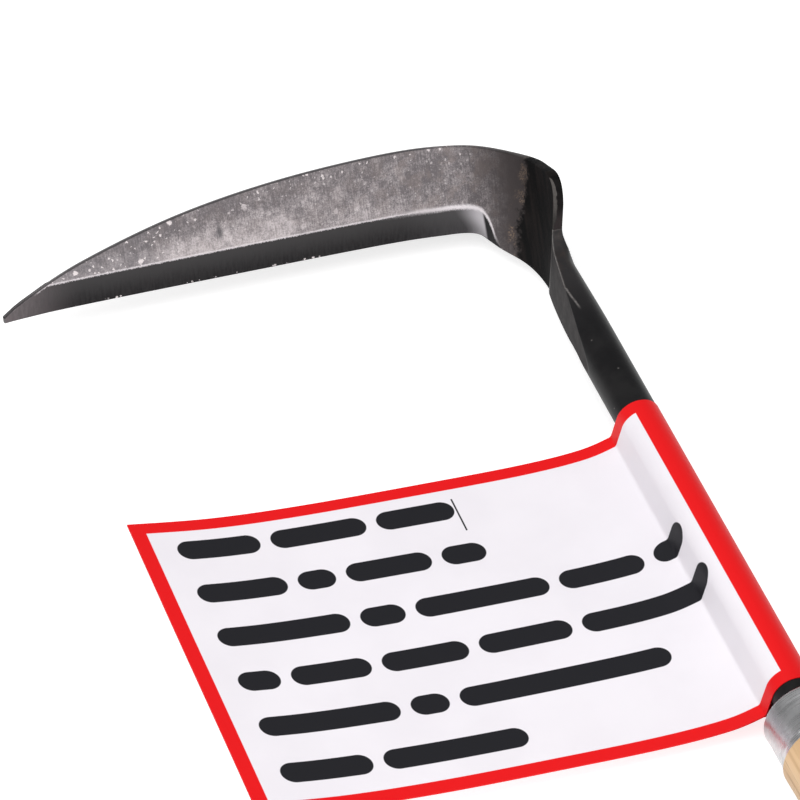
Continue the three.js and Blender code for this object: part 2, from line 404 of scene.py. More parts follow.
NECK_BOTTOM = rear_edge(NECK_BOTTOM_Z)
HEEL_START = rear_edge(HEEL_START_Z)
HEEL_CONTROL = (-14.2, 27.5)
HEEL_END = (-5, 28.1)
BACK = [HEEL_END, (14, 30.5), (32, 34.45), (54, 36.15), (88, 34.65), (120, 30.1), (150, 22.1), (168, 14.6),
        (TIP_S, 10.6)]
UNDERSIDE = [NECK_BOTTOM, (14, -3.3), (22, 1.2), (27, 4.4), (31.5, 7.5), (42, 8.6), (60, 9.3), (100, 9.4),
             (150, 9.3), (TIP_S, 8.8)]
BEVEL_LINE = [(22.4, 0.6), (24.2, 3.4), (25.2, 6.2), (25.9, 9.7), (26.9, 12.6), (28.6, 14.9), (31.5, 16.0),
              (36, 16.6), (44, 17.1), (60, 17.7), (110, 17.8), (160, 17.5), (TIP_S, 16.6)]


def heel_point(t):
    """The rounded heel, a quadratic curve from the rear edge to the back, with t from 0 to 1."""
    a, b, c = (1 - t)**2, 2 * t * (1 - t), t * t
    return tuple(a * p + b * q + c * r for p, q, r in zip(HEEL_START, HEEL_CONTROL, HEEL_END))


def bevel_height(s):
    """Height across the blank of the bevel's upper line, or far below where there is no bevel."""
    if s <= BEVEL_LINE[0][0]:
        return -100.0
    return at_station(BEVEL_LINE, s)[1]


def from_rear_edge(s, h):
    """How far a place on the blank lies from the rear edge, square to it and towards the tip."""
    return s * math.sin(LEAN) + h * math.cos(LEAN)


def at_depth(curve, depth):
    """The point of a curve of the blank, given for t from 0 to 1, that lies that far from the rear edge."""
    low, high = 0.0, 1.0
    for _ in range(26):
        middle = (low + high) / 2
        if from_rear_edge(*curve(middle)) < depth:
            low = middle
        else:
            high = middle
    return curve((low + high) / 2)


def blade_stations():
    """Pairs of points, under and over, that the section lines run between, from the weld to the tip."""
    neck_steps, cutting_steps = 90, 150
    bend_end = BEND_START + BEND_LENGTH
    heel_depth = from_rear_edge(*HEEL_END)
    depths = [0.0, 0.1, 0.25, 0.45, 0.7, 1.0, 1.4, 1.9, 2.5, 3.2, 4.0, 5.0, 6.0, 7.0, 8.0, 9.0, heel_depth]

    def underside(t):
        return at_station(UNDERSIDE, lerp(NECK_BOTTOM[0], 20.0, t))

    pairs = [(NECK_BOTTOM, HEEL_START)]
    pairs += [(at_depth(underside, depth), at_depth(heel_point, depth)) for depth in depths[1:-1]]
    under_heel = at_depth(underside, heel_depth)[0]
    for i in range(neck_steps):
        t = i / neck_steps
        pairs.append((at_station(UNDERSIDE, lerp(under_heel, bend_end, t)),
                      at_station(BACK, lerp(HEEL_END[0], bend_end, t))))
    for i in range(cutting_steps + 1):
        s = lerp(bend_end, TIP_S, i / cutting_steps)
        pairs.append((at_station(UNDERSIDE, s), at_station(BACK, s)))
    return pairs


def bevel_share(under, over):
    """The share of a section line, from its lower end, that the bevel takes up."""
    if under[1] > bevel_height(under[0]):
        return 0.0
    low, high = 0.0, 1.0
    for _ in range(20):
        middle = (low + high) / 2
        if lerp(under[1], over[1], middle) < bevel_height(lerp(under[0], over[0], middle)):
            low = middle
        else:
            high = middle
    return low


def section(under, over):
    """One section round the plate, as (s, h, offset, distances to bevel line, back and edge, side)."""
    length = math.hypot(over[0] - under[0], over[1] - under[1])
    half = PLATE / 2
    corner = min(ROUNDING, length * 0.2)
    bevel = min(bevel_share(under, over) * length, length - corner * 1.02)
    depth_at_edge = min(bevel * BEVEL_SLOPE, PLATE - EDGE)
    foot = min(ROUNDING, (PLATE - depth_at_edge) * 0.45, length * 0.1)
    bevel_steps, face_steps, rim_steps = 12, 26, 8
    start = max(bevel, foot * 1.02)
    rim = min(1.8, (length - corner - start) * 0.4)
    levels = [lerp(foot, start, i / bevel_steps) for i in range(bevel_steps)]
    levels += [lerp(start, length - rim, i / face_steps) for i in range(face_steps)]
    levels += [length - lerp(rim, corner, i / rim_steps) for i in range(rim_steps + 1)]

    def ground(along):
        return 0.0 if bevel < foot else depth_at_edge * max(0.0, 1 - along / bevel)

    low_face = -half + ground(foot)
    turns = [i / 5 * math.pi for i in (1, 2, 3, 4)]
    points = []

    def add(along, offset, side):
        t = along / length
        s, h = lerp(under[0], over[0], t), lerp(under[1], over[1], t)
        points.append((s, h, offset, along - bevel, length - along, along, side))

    middle, spread = (half + low_face) / 2, (half - low_face) / 2
    for turn in (turns[1], turns[0]):
        add(foot - foot * math.sin(turn), middle + spread * math.cos(turn), 0.4)
    for along in levels:
        add(along, half, 0.0)
    for turn in turns:
        add(length - corner + corner * math.sin(turn), half * math.cos(turn), 0.5)
    for along in reversed(levels):
        add(along, -half + ground(along), 1.0)
    for turn in (turns[3], turns[2]):
        add(foot - foot * math.sin(turn), middle + spread * math.cos(turn), 0.6)
    return points


def heel_rim():
    """Points along the rear edge and the heel, with the chamfer's size at each, from 0 to 1."""
    edge_steps, heel_steps = 90, 40
    rim = []
    for i in range(edge_steps):
        z = lerp(CHAMFER_LOW_Z, HEEL_START_Z, i / edge_steps)
        size = max(CHAMFER_THIN * smooth(CHAMFER_LOW_Z, 2, z), smooth(11.5, 16.5, z))
        rim.append((*rear_edge(z), size))
    for i in range(heel_steps):
        t = i / heel_steps
        rim.append((*heel_point(t), smooth(0.95, 0.3, t)))
    return rim


def chamfer_at(s, h, rim):
    """The chamfer's depth at a place in millimetres, and how near the place is to its outer edge."""
    reach, size = min((math.hypot(s - x, h - y), size) for x, y, size in rim)
    if size <= 0:
        return 0.0, 0.0
    near = clamp(1 - reach / (CHAMFER_REACH * size))
    return CHAMFER_DEPTH * size * near, near


def make_blade():
    chamfer_zone = 3.0
    rim_zone = 1.5
    rings = [section(under, over) for under, over in blade_stations()]
    points = [p for ring in rings for p in ring]
    rim = heel_rim()
    vertices, chamfers, sides = [], [], []
    for s, h, offset, _, to_back, _, side in points:
        beside_rim = s < chamfer_zone and min(to_back, from_rear_edge(s, h)) < rim_zone
        depth, near = chamfer_at(s, h, rim) if beside_rim else (0.0, 0.0)
        cut = near > 0 and offset <= depth - PLATE / 2
        vertices.append(bend(s, h, depth - PLATE / 2 if cut else offset))
        chamfers.append(near if cut else 0.0)
        sides.append(1.0 if cut else side)
    faces = ring_faces(len(rings), len(rings[0]))
    obj = facing_out(new_object("blade_forged", vertices, faces, sharp=28))
    for index, name in ((0, "s"), (1, "h"), (3, "above_bevel"), (4, "to_back"), (5, "to_edge")):
        float_layer(obj, name, [p[index] for p in points])
    float_layer(obj, "side", sides)
    float_layer(obj, "chamfer", chamfers)
    return obj


def spots(f, blank, scale, largest, share):
    """Round marks scattered over the blank: share of the cells hold one, of up to the largest radius."""
    cells = f.voronoi(blank, scale)
    chance = f.add("ShaderNodeSeparateColor", Color=cells.outputs["Color"])
    radius = f.product(chance.outputs[0], largest * scale)
    inside = f.math("SUBTRACT", radius, cells.outputs["Distance"])
    present = f.span(chance.outputs[1], 1 - share, 1 - share + 0.02)
    return f.product(f.span(inside, -0.02, 0.05), present)


def blade_finish():
    """The blade's steel: its ground face, the scale at its rear, the bevel and the worn edges, with painted
    shade and painted highlights.
    """
    f = Finish("blade_steel")
    s, h = f.attribute("s"), f.attribute("h")
    above_bevel = f.attribute("above_bevel")
    to_back, to_edge = f.attribute("to_back"), f.attribute("to_edge")
    side, chamfer = f.attribute("side"), f.attribute("chamfer")
    blank = f.vector(s, h, side)
    on_inner = f.span(side, 0.6, 0.8)

    # the ground face: mottled grey, lighter along the bevel and in the middle, with marks across it
    clouds = f.noise(blank, 0.09, 4, 0.6)
    mottle = f.noise(blank, 0.45, 5, 0.7)
    grain = f.noise(blank, 2.4, 4, 0.75)
    marks = f.noise(f.stretched(blank, (2.4, 0.16, 1)), 1.0, 4, 0.65)
    along_bevel = f.product(f.span(above_bevel, 0.0, 8.5, 1, 0), f.span(s, 28, 62, 0.1, 1),
                            f.span(s, 122, 138, 1, 0.6))
    middle = f.product(f.span(s, 66, 96), f.span(s, 116, 132, 1, 0),
                       f.span(to_back, 3, 9), f.span(above_bevel, 0.5, 6, 0.35, 1))
    light = f.math("ADD", f.math("MULTIPLY", along_bevel, 0.34), f.math("MULTIPLY", middle, 0.27))
    light = f.math("ADD", light, f.span(clouds, 0.3, 0.7, -0.2, 0.12))
    light = f.math("ADD", light, f.span(mottle, 0.3, 0.7, -0.2, 0.2))
    light = f.math("ADD", light, f.span(grain, 0.3, 0.7, -0.26, 0.26))
    light = f.math("ADD", light, f.span(marks, 0.3, 0.7, 0.16, -0.16))
    tone = f.blend(f.span(light, -0.35, 1.1), FACE_DARK, FACE_LIGHT)
    browned = f.product(f.span(f.noise(blank, 0.2, 4, 0.7), 0.45, 0.62), f.span(s, 22, 80, 0.5, 0.15))
    tone = f.blend(browned, tone, FACE_BROWN)
    bluish = f.product(f.span(s, 122, 134), f.span(to_edge, 14, 11, 0.5, 1), 0.35)
    tone = f.blend(bluish, tone, FACE_BLUE)

    # pale spots, more of them near the back and the tip, and one dark smudge
    crowded = f.math("MAXIMUM", f.span(to_back, 1.5, 6, 1, 0.3), f.span(s, 112, 128))
    ragged_s = f.math("ADD", s, f.span(f.noise(blank, 1.3, 2, 0.5), 0.2, 0.8, -0.3, 0.3))
    ragged_h = f.math("ADD", h, f.span(f.noise(blank, 1.7, 2, 0.5), 0.2, 0.8, -0.3, 0.3))
    ragged_blank = f.vector(ragged_s, ragged_h, side)
    pale = f.math("MAXIMUM", spots(f, ragged_blank, 0.3, 1.0, 0.5), spots(f, ragged_blank, 0.85, 0.4, 0.75))
    pale = f.product(pale, crowded, f.span(grain, 0.3, 0.55, 0.55, 0.9), f.span(s, 24, 34))
    tone = f.blend(pale, tone, SPOT_PALE)
    from_smudge = f.add("ShaderNodeVectorMath", {"operation": "DISTANCE"})
    f.feed(from_smudge.inputs[0], f.stretched(blank, (1.0, SMUDGE_SQUASH, 0)))
    from_smudge.inputs[1].default_value = (SMUDGE_S, SMUDGE_H * SMUDGE_SQUASH, 0)
    tone = f.blend(f.span(from_smudge.outputs["Value"], 0.2, 1.5, 0.75, 0), tone, FACE_SMUDGE)

    # painted shade darkening the face into the bend, then black forge scale at the neck, breaking up
    # towards the ground face
    slanted = f.math("ADD", s, f.span(h, 4, 28, -1.2, 7.5))
    ragged = f.math("ADD", slanted, f.product(f.noise(blank, 0.4, 6, 0.72), 10.5))
    # painted shade: the face darker towards the bend
    painted_bend_shade = f.span(f.math("ADD", s, f.product(clouds, 6.0)), 19, 38, 0.97, 0)
    tone = f.blend(painted_bend_shade, tone, NECK_PAINTED_SHADE)
    flecks = f.product(f.span(ragged, 20.9, 22.4), f.span(ragged, 23.4, 26.9, 1, 0),
                       f.span(grain, 0.46, 0.62), f.span(f.noise(blank, 0.3, 2, 0.5), 0.42, 0.6), 0.9)
    tone = f.blend(flecks, tone, FLECK_BROWN)
    flaking = f.span(ragged, 20.3, 23.3, 1, 0)
    streaks = f.noise(f.stretched(blank, (0.4, 0.05, 1)), 1.0, 4, 0.6)
    scale_tone = f.blend(f.span(streaks, 0.42, 0.66), SCALE_BLACK, SCALE_BROWN)
    scale_tone = f.blend(f.span(grain, 0.5, 0.75, 0, 0.4), scale_tone, SCALE_BROWN)
    tone = f.blend(flaking, tone, scale_tone)

    # the bevel: painted dark for the dark reflection it shows, with a painted highlight towards its run-out
    # at the neck and painted shade in a pocket beyond that
    bevel = f.product(f.span(above_bevel, 0.05, -0.15), on_inner)
    strokes = f.noise(f.stretched(blank, (1.3, 0.25, 1)), 1.0, 3, 0.6)
    # painted dark reflection over the bevel
    bevel_tone = f.blend(f.span(above_bevel, -8, -0.3), BEVEL_PAINTED_DARK_LOW, BEVEL_PAINTED_DARK_HIGH)
    bevel_tone = f.blend(f.span(s, 150, 177, 0, 1), bevel_tone, BEVEL_TIP)
    bevel_tone = f.blend(f.span(strokes, 0.3, 0.7, 0, 0.3), bevel_tone, BEVEL_PAINTED_DARK_HIGH)
    bevel_tone = f.blend(f.span(grain, 0.3, 0.75, 0, 0.2), bevel_tone, BEVEL_PAINTED_DARK_HIGH)
    # painted highlight towards the run-out
    painted_runout_highlight = f.math("POWER", f.span(s, 46, 28.4), f.span(above_bevel, -7, -1, 8.0, 4.5))
    painted_runout_highlight = f.product(painted_runout_highlight, f.span(above_bevel, -7.5, -2.5, 0.55, 1))
    painted_runout_highlight = f.math("MAXIMUM", painted_runout_highlight, f.span(s, 56, 33, 0, 0.07))
    bevel_tone = f.blend(painted_runout_highlight, bevel_tone, BEVEL_PAINTED_HIGHLIGHT)
    # painted shade in the pocket beyond the run-out
    painted_pocket_shade = f.span(s, 28.5, 27.7)
    bevel_tone = f.blend(painted_pocket_shade, bevel_tone, BEVEL_PAINTED_POCKET_SHADE)
    tone = f.blend(bevel, tone, bevel_tone)

    # a bright burr along the bevel's upper line, widening near the run-out into a painted highlight, and
    # specks of burr along the cutting edge
    from_line = f.math("ABSOLUTE", f.math("ADD", above_bevel, f.span(grain, 0.3, 0.7, -0.25, 0.25)))
    near_runout = f.span(s, 62, 34)
    # burr line, widened near the run-out into a painted highlight
    burr_and_highlight = f.math("MAXIMUM", f.span(from_line, 0.38, 0.08, 0, 0.7),
                  f.product(f.span(from_line, 1.15, 0.1), near_runout))
    burr_and_highlight = f.product(burr_and_highlight, on_inner, f.span(h, 3.5, 9), f.span(s, 23, 25), f.span(s, 166, 163.5))
    tone = f.blend(burr_and_highlight, tone, BURR_AND_HIGHLIGHT)
    nicks = f.product(spots(f, blank, 1.1, 0.5, 0.4), f.span(to_edge, 0.9, 0.3),
                      f.span(f.noise(blank, 0.06, 2, 0.5), 0.46, 0.56), on_inner)
    tone = f.blend(nicks, tone, SPOT_PALE)

    # a grey line along the back's edge, a worn rear end, and a painted highlight on the chamfer at the heel
    narrow = f.product(f.span(to_back, 0.3, 0.2), f.span(s, 40, 44), 0.9)
    tone = f.blend(narrow, tone, BACK_EDGE)
    rear_end = f.product(f.span(side, 0.0, 0.15), f.span(side, 0.99, 0.93), f.span(h, 18, 12.5, 0, 0.85))
    tone = f.blend(rear_end, tone, REAR_WORN)
    # painted highlight on the chamfer facet at the heel
    painted_chamfer_highlight = f.product(f.span(chamfer, 0.02, 0.2), f.span(side, 0.93, 0.99), f.span(h, 13, 19, 0.4, 1),
                     f.span(grain, 0.3, 0.6, 0.75, 1))
    tone = f.blend(painted_chamfer_highlight, tone, CHAMFER_PAINTED_HIGHLIGHT)

    rough = f.math("ADD", f.product(flaking, SCALE_ROUGHNESS - BLADE_ROUGHNESS), BLADE_ROUGHNESS)
    metal = f.math("SUBTRACT", BLADE_METALLIC, f.product(flaking, BLADE_METALLIC))
    height = f.math("ADD", f.product(marks, 0.4), f.product(grain, 0.5))
    crust = f.product(f.noise(blank, 1.1, 5, 0.75), flaking, 2.2)
    f.set(Base_Color=tone, Roughness=rough, Metallic=metal, Specular_IOR_Level=0.08,
          Normal=f.bump(f.math("ADD", height, crust), 0.35, 0.00012))
    return f


# ------------------------------------------------------------------ shank and weld
def shank_section(y):
    """The flattened end's section at y: a rounded block at the weld that grows into the round shank."""
    back = max(0.0, -y)
    fade = (1 - clamp(back / TAPER))**2
    if back < WELD_FILLET:
        fall = math.sqrt(1 - (1 - back / WELD_FILLET)**2)
        top = WELD_TOP - (WELD_TOP - SHOULDER) * fall
    else:
        top = lerp(SHOULDER, SHANK_R, smooth(0, SHOULDER_LENGTH, back - WELD_FILLET))
    return {
        "centre": NECK_X * fade,
        "top": top,
        "bottom": lerp(WELD_FOOT, SHANK_R, clamp(back / FOOT_TAPER)),
        "half_width": lerp(FLAT_HALF_WIDTH, SHANK_R, math.sin(clamp(back / TAPER) * math.pi / 2)),
        "inner_face": lerp(NECK_X - PLATE / 2, -SHANK_R, clamp(back / FACET)**0.8),
        "outer_face": lerp(NECK_X + PLATE / 2, NECK_X + SHANK_R, clamp(back / (SWELL + WELD_LENGTH))**1.15),
        "inner_square": lerp(6.0, 2.0, clamp(back / TAPER)),
        "outer_square": lerp(2.0, 6.0, (1 - clamp(back / SWELL))**2),
    }


def shank_ring(y, grow=0.0):
    """Points round the shank at y, and how far each one is pressed in from the round section."""
    sec = shank_section(y)
    points, pressed = [], []
    for i in range(SHANK_SIDES):
        angle = (i + 0.5) / SHANK_SIDES * 2 * math.pi
        across, up = math.cos(angle), math.sin(angle)
        power = 2 / (sec["outer_square"] if across > 0 else sec["inner_square"])
        x = sec["centre"] + math.copysign(abs(across)**power, across) * (sec["half_width"] + grow)
        z = math.copysign(abs(up)**power, up) * ((sec["top"] if up > 0 else sec["bottom"]) + grow)
        held = clamp(x, sec["inner_face"] - grow, sec["outer_face"] + grow)
        points.append(place(held, y, z))
        pressed.append(max(0.0, held - x))
    return points, pressed


def pale_line_wear_and_highlight(y, points, pressed):
    """How much of the thin pale line, worn paint with a painted highlight, each point of the ring at y
    carries, from 0 to 1.

    The line runs along the facet's upper corner from the weld, then leaves it over the shank's top.
    """
    values = [0.0] * len(points)
    if y > LINE_LEAVES_Y:
        upper = [i for i, point in enumerate(points) if pressed[i] > 0 and point.z > WELD.z]
        if upper:
            corner = points[max(upper, key=lambda i: points[i].z)]
            values = [clamp(1.25 - (point - corner).length / MM / LINE_WIDTH) for point in points]
    elif y > LINE_ENDS_Y:
        line_x = lerp(-2.6, -1.7, smooth(LINE_LEAVES_Y, LINE_ENDS_Y, y))
        for i, point in enumerate(points):
            if point.z > WELD.z:
                away = abs((point.x - WELD.x) / MM - line_x)
                values[i] = clamp(1.25 - away / LINE_WIDTH) * smooth(LINE_ENDS_Y, LINE_ENDS_Y + 3, y)
    return values


def make_shank():
    front = along_shank(shank_high.y)
    back = along_shank(shank_low.y)
    round_end, shaped_start, steps = -80.0, -FACET - 6, 150
    stations = [back, round_end] + [lerp(shaped_start, front, i / steps) for i in range(steps + 1)]
    vertices, pressed, line_wear_and_highlight, places = [], [], [], []
    for y in stations:
        ring, held = shank_ring(y)
        vertices += ring
        pressed += held
        line_wear_and_highlight += pale_line_wear_and_highlight(y, ring, held)
        places += [y] * SHANK_SIDES
    faces = ring_faces(len(stations), SHANK_SIDES)
    obj = facing_out(new_object("shank_painted", vertices, faces, sharp=30))
    float_layer(obj, "pressed", pressed)
    float_layer(obj, "line_wear_and_highlight", line_wear_and_highlight)
    float_layer(obj, "station", places)
    return obj


def make_weld():
    """The bead that fills the gap between shank and blade, a little proud of the shank all round."""
    steps, proud = 16, 0.03
    shank_front = along_shank(shank_high.y)
    back, front = shank_front - 0.15, 0.04
    vertices, places, line_wear_and_highlight = [], [], []
    for i in range(steps + 1):
        y = lerp(back, front, (i / steps)**0.6)
        ring, held = shank_ring(y, grow=proud)
        vertices += ring
        places += [y] * SHANK_SIDES
        # the seam's top edge: worn paint with a painted highlight
        on_seam = [smooth(WELD_TOP - 0.6, WELD_TOP - 0.15, (point.z - WELD.z) / MM) for point in ring]
        line_wear_and_highlight += [max(pair) for pair in zip(on_seam, pale_line_wear_and_highlight(y, ring, held))]
    faces = ring_faces(steps + 1, SHANK_SIDES)
    obj = facing_out(new_object("weld_bead", vertices, faces, sharp=30))
    float_layer(obj, "pressed", [0.0] * len(vertices))
    float_layer(obj, "line_wear_and_highlight", line_wear_and_highlight)
    float_layer(obj, "station", places)
    return obj


def black_paint(name):
    """Satin black, dull and rusty by the weld and rough on the facet, with a thin pale line of worn paint
    and painted highlight.
    """
    f = Finish(name)
    space = f.object_space()
    station = f.attribute("station")
    clouds = f.noise(space, 90, 4, 0.6)
    fine = f.noise(space, 1100, 3, 0.6)
    tone = f.blend(f.span(clouds, 0.35, 0.7), PAINT_BLACK, PAINT_WORN)
    tone = f.blend(f.span(station, -40, -12, 0, 0.75), tone, PAINT_DULL)
    rusty = f.product(f.span(f.noise(space, 260, 5, 0.7), 0.42, 0.66), f.span(station, -26, -1), 0.7)
    tone = f.blend(rusty, tone, PAINT_BROWN)
    dust = f.voronoi(space, 420)
    chance = f.add("ShaderNodeSeparateColor", Color=dust.outputs["Color"])
    inside = f.math("SUBTRACT", f.product(chance.outputs[0], 0.2), dust.outputs["Distance"])
    speck = f.product(f.span(inside, 0.0, 0.06), f.span(chance.outputs[1], 0.8, 0.82), 0.45)
    tone = f.blend(speck, tone, DUST_AND_HIGHLIGHT)
    facet = f.span(f.attribute("pressed"), 0.0, 0.25)
    facet_tone = f.blend(f.span(f.noise(space, 300, 5, 0.7), 0.32, 0.7), FACET_DARK, FACET_LIGHT)
    tone = f.blend(facet, tone, facet_tone)
    # the pale line: worn paint with a painted highlight along the corner
    line_wear_and_highlight = f.product(f.attribute("line_wear_and_highlight"), f.span(fine, 0.3, 0.6, 0.5, 1))
    tone = f.blend(line_wear_and_highlight, tone, DUST_AND_HIGHLIGHT)
    rough = f.math("ADD", f.product(facet, FACET_ROUGHNESS - PAINT_ROUGHNESS), PAINT_ROUGHNESS)
    f.set(Base_Color=tone, Roughness=rough, Metallic=0.0, Specular_IOR_Level=0.14,
          Normal=f.bump(fine, 0.2, 0.0001))
    return f


# ------------------------------------------------------------------ handle, ferrule and pin
def turned_points(profile, segments):
    """Rings about the shank's axis, one for each [radius, y] pair."""
    points = []
    for radius, y in profile:
        for i in range(segments):
            angle = i / segments * 2 * math.pi
            points.append(place(radius * math.cos(angle), y, radius * math.sin(angle)))
    return points


def capped_faces(rings, count):
    """Quads between rings of count points, with one face over the first ring and one over the last."""
    faces = ring_faces(rings, count, closed_ends=False)
    last = (rings - 1) * count
    faces.append(tuple(range(count)))
    faces.append(tuple(last + i for i in reversed(range(count))))
    return faces


def cut(obj, cutter):
    """Takes the cutter's shape out of obj, and removes the cutter."""
    modifier = obj.modifiers.new("cut", "BOOLEAN")
    modifier.operation = "DIFFERENCE"
    modifier.object = cutter
    modifier.solver = "EXACT"
    bpy.context.view_layer.update()
    done = bpy.data.meshes.new_from_object(obj.evaluated_get(bpy.context.evaluated_depsgraph_get()))
    obj.modifiers.clear()
    obj.data = done
    bpy.data.objects.remove(cutter)


def cross_rod(name, y, half_profile, segments):
    """A rod that crosses the shank's axis along Z at y, from [radius, z] pairs of its upper half."""
    profile = list(half_profile) + [(radius, -z) for radius, z in reversed(half_profile)]
    vertices = []
    for radius, z in profile:
        for i in range(segments):
            angle = i / segments * 2 * math.pi
            vertices.append(place(radius * math.cos(angle), y + radius * math.sin(angle), z))
    return facing_out(new_object(name, vertices, capped_faces(len(profile), segments), sharp=40))


def make_handle():
    """The turned grip, solid but for its two cross holes, with a seat for the ferrule at its front."""
    front = along_shank(handle_high.y)
    back = along_shank(handle_low.y)
    collar_end = along_shank(ferrule_low.y)
    collar_r = FERRULE_R - FERRULE_SEAT
    shoulder = collar_end - GAP
    swell = [(FERRULE_R + 0.6, shoulder), (12.6, -232), (13.9, -272), (13.0, -306), (14.2, -326),
             (13.2, back + 2.5), (10.5, back)]
    profile = [(SHANK_R + GAP, front), (collar_r, front), (collar_r, shoulder)]
    profile += [(FERRULE_R - 0.2, shoulder - 0.01)]
    profile += [spline(swell, i / HANDLE_STEPS) for i in range(HANDLE_STEPS + 1)]
    faces = capped_faces(len(profile), TURNED_SIDES)
    obj = facing_out(new_object("handle_turned", turned_points(profile, TURNED_SIDES), faces, HANDLE_SHARP))
    rounded_hole = ((5.4, 15.2), (4.6, 13.9), (4.15, 13.2), (4.0, 12.4))
    pin_hole = ((PIN_R + PIN_CLEARANCE, 16.0), (PIN_R + PIN_CLEARANCE, 8.0))
    cut(obj, cross_rod("hang_cutter", back + HANG_HOLE_INSET, rounded_hole, 48))
    cut(obj, cross_rod("pin_cutter", PIN_Y, pin_hole, PIN_SIDES))
    obj.data.shade_smooth()
    obj.data.set_sharp_from_angle(angle=math.radians(HANDLE_SHARP))
    return obj


def make_ferrule():
    """A spun collar with a raised bead near its back, and a rounded front that turns in over the wood."""
    front = along_shank(ferrule_high.y)
    back = along_shank(ferrule_low.y)
    outer, inner = FERRULE_R, FERRULE_R - FERRULE_WALL
    lip = inner - 3.6
    bead_height, bead_steps = 0.21, 4
    corner, corner_steps = 0.8, 8
    profile = [(inner, back), (outer - 0.2, back), (outer, back + 0.2)]
    for i in range(bead_steps + 1):
        share = i / bead_steps
        sunk = bead_height * (1 - math.sin(share * math.pi))
        profile.append((outer - sunk, lerp(back + 1.6, back + 2.8, share)))
    profile.append((outer - 0.2, front - 3.0))
    for i in range(corner_steps + 1):
        angle = i / corner_steps * math.pi / 2
        profile.append((outer - corner * (1 - math.cos(angle)), front - corner * (1 - math.sin(angle))))
    profile += [(lip, front), (lip, front - 0.5), (inner, front - 0.6), (inner, back)]
    faces = ring_faces(len(profile), TURNED_SIDES, closed_ends=False)
    return facing_out(new_object("ferrule_spun", turned_points(profile, TURNED_SIDES), faces, sharp=35))


def make_pin():
    """The cross pin, slightly domed at both ends."""
    reach = (pin_high.z - pin_low.z) / 2 / MM
    dome = 0.35
    profile = ((0.02, reach), (PIN_R * 0.6, reach - dome * 0.3), (PIN_R * 0.92, reach - dome),
               (PIN_R, reach - dome * 1.8))
    return cross_rod("pin_driven", PIN_Y, profile, PIN_SIDES)


def wood_finish():
    """Pale wood, with fibres, rings and pores drawn out along the handle."""
    f = Finish("handle_wood")
    space = f.object_space()
    fibres = f.noise(f.stretched(space, (420, 9, 420)), 1.0, 5, 0.65, 0.4)
    rings = f.noise(f.stretched(space, (75, 3.2, 75)), 1.0, 3, 0.5, 1.2)
    pores = f.noise(f.stretched(space, (1500, 45, 1500)), 1.0, 2, 0.6)
    tone = f.blend(f.span(rings, 0.3, 0.7), WOOD_SUMMER, WOOD_SPRING)
    tone = f.blend(f.span(fibres, 0.35, 0.75, 0, 0.6), tone, WOOD_FIBRE)
    tone = f.blend(f.span(pores, 0.60, 0.72, 0, 0.55), tone, WOOD_PORE)
    rough = f.span(fibres, 0.3, 0.7, 0.42, 0.58)
    height = f.math("SUBTRACT", fibres, f.product(f.span(pores, 0.58, 0.72), 0.8))
    f.set(Base_Color=tone, Roughness=rough, Normal=f.bump(height, 0.3, 0.00015))
    return f


def bright_steel(name, tone_low, tone_high):
    """Bare steel, in tones between the two given."""
    f = Finish(name)
    space = f.object_space()
    turned_marks = f.noise(f.stretched(space, (60, 4200, 60)), 1.0, 3, 0.6)
    clouds = f.noise(space, 140, 4, 0.6)
    tone = f.blend(f.span(clouds, 0.3, 0.7), tone_low, tone_high)
    rough = f.span(turned_marks, 0.3, 0.7, 0.24, 0.4)
    f.set(Base_Color=tone, Metallic=1.0, Roughness=rough, Normal=f.bump(turned_marks, 0.15, 0.00005))
    return f


# ------------------------------------------------------------------ label
CREASE = (-7.9, -5.4)
FLAG = [CREASE, (-17, -7.9), (-34, -8.85), (-62, -8.3), (-98, -6.6), (-126, -4.1), (-150.7, 0.2)]
LEAVES_SHANK = math.radians(163)
RED_FROM = math.radians(113)
RETURNS_TO_SHANK = math.radians(-105)


def label_path():
    """The folded sheet's centre line in X and Z, from the upper layer's free edge to the lower one's."""
    steps = 70
    upper, lower = [], []
    for i in range(steps + 1):
        t = i / steps
        x, z = spline(FLAG, t)
        ahead, behind = spline(FLAG, min(1, t + 0.01)), spline(FLAG, max(0, t - 0.01))
        along = Vector((ahead[0] - behind[0], ahead[1] - behind[1])).normalized()
        above = Vector((along.y, -along.x))
        centre = Vector((x, z))
        upper.append(centre + above * CARD * 0.62)
        lower.append(centre - above * CARD * 0.62)
    path = list(reversed(upper))[:-1]
    first = Vector((math.cos(LEAVES_SHANK), math.sin(LEAVES_SHANK))) * LABEL_LOOP_R
    corner = Vector(CREASE) + Vector((0.1, 0.25))
    start, rise = path[-1], corner.lerp(first, 0.12)
    for i in range(1, 6):
        t = i / 6
        path.append(start.lerp(corner, t).lerp(corner.lerp(rise, t), t))
    for i in range(8):
        path.append(rise.lerp(first, i / 8))
    loop_start = len(path)
    for i in range(61):
        angle = lerp(LEAVES_SHANK, RETURNS_TO_SHANK, i / 60)
        path.append(Vector((math.cos(angle), math.sin(angle))) * LABEL_LOOP_R)
    end = path[-1]
    loop_end = len(path) - 1
    for i in range(1, 9):
        path.append(end.lerp(lower[1], i / 9))
    return path + lower[1:], loop_start, loop_end


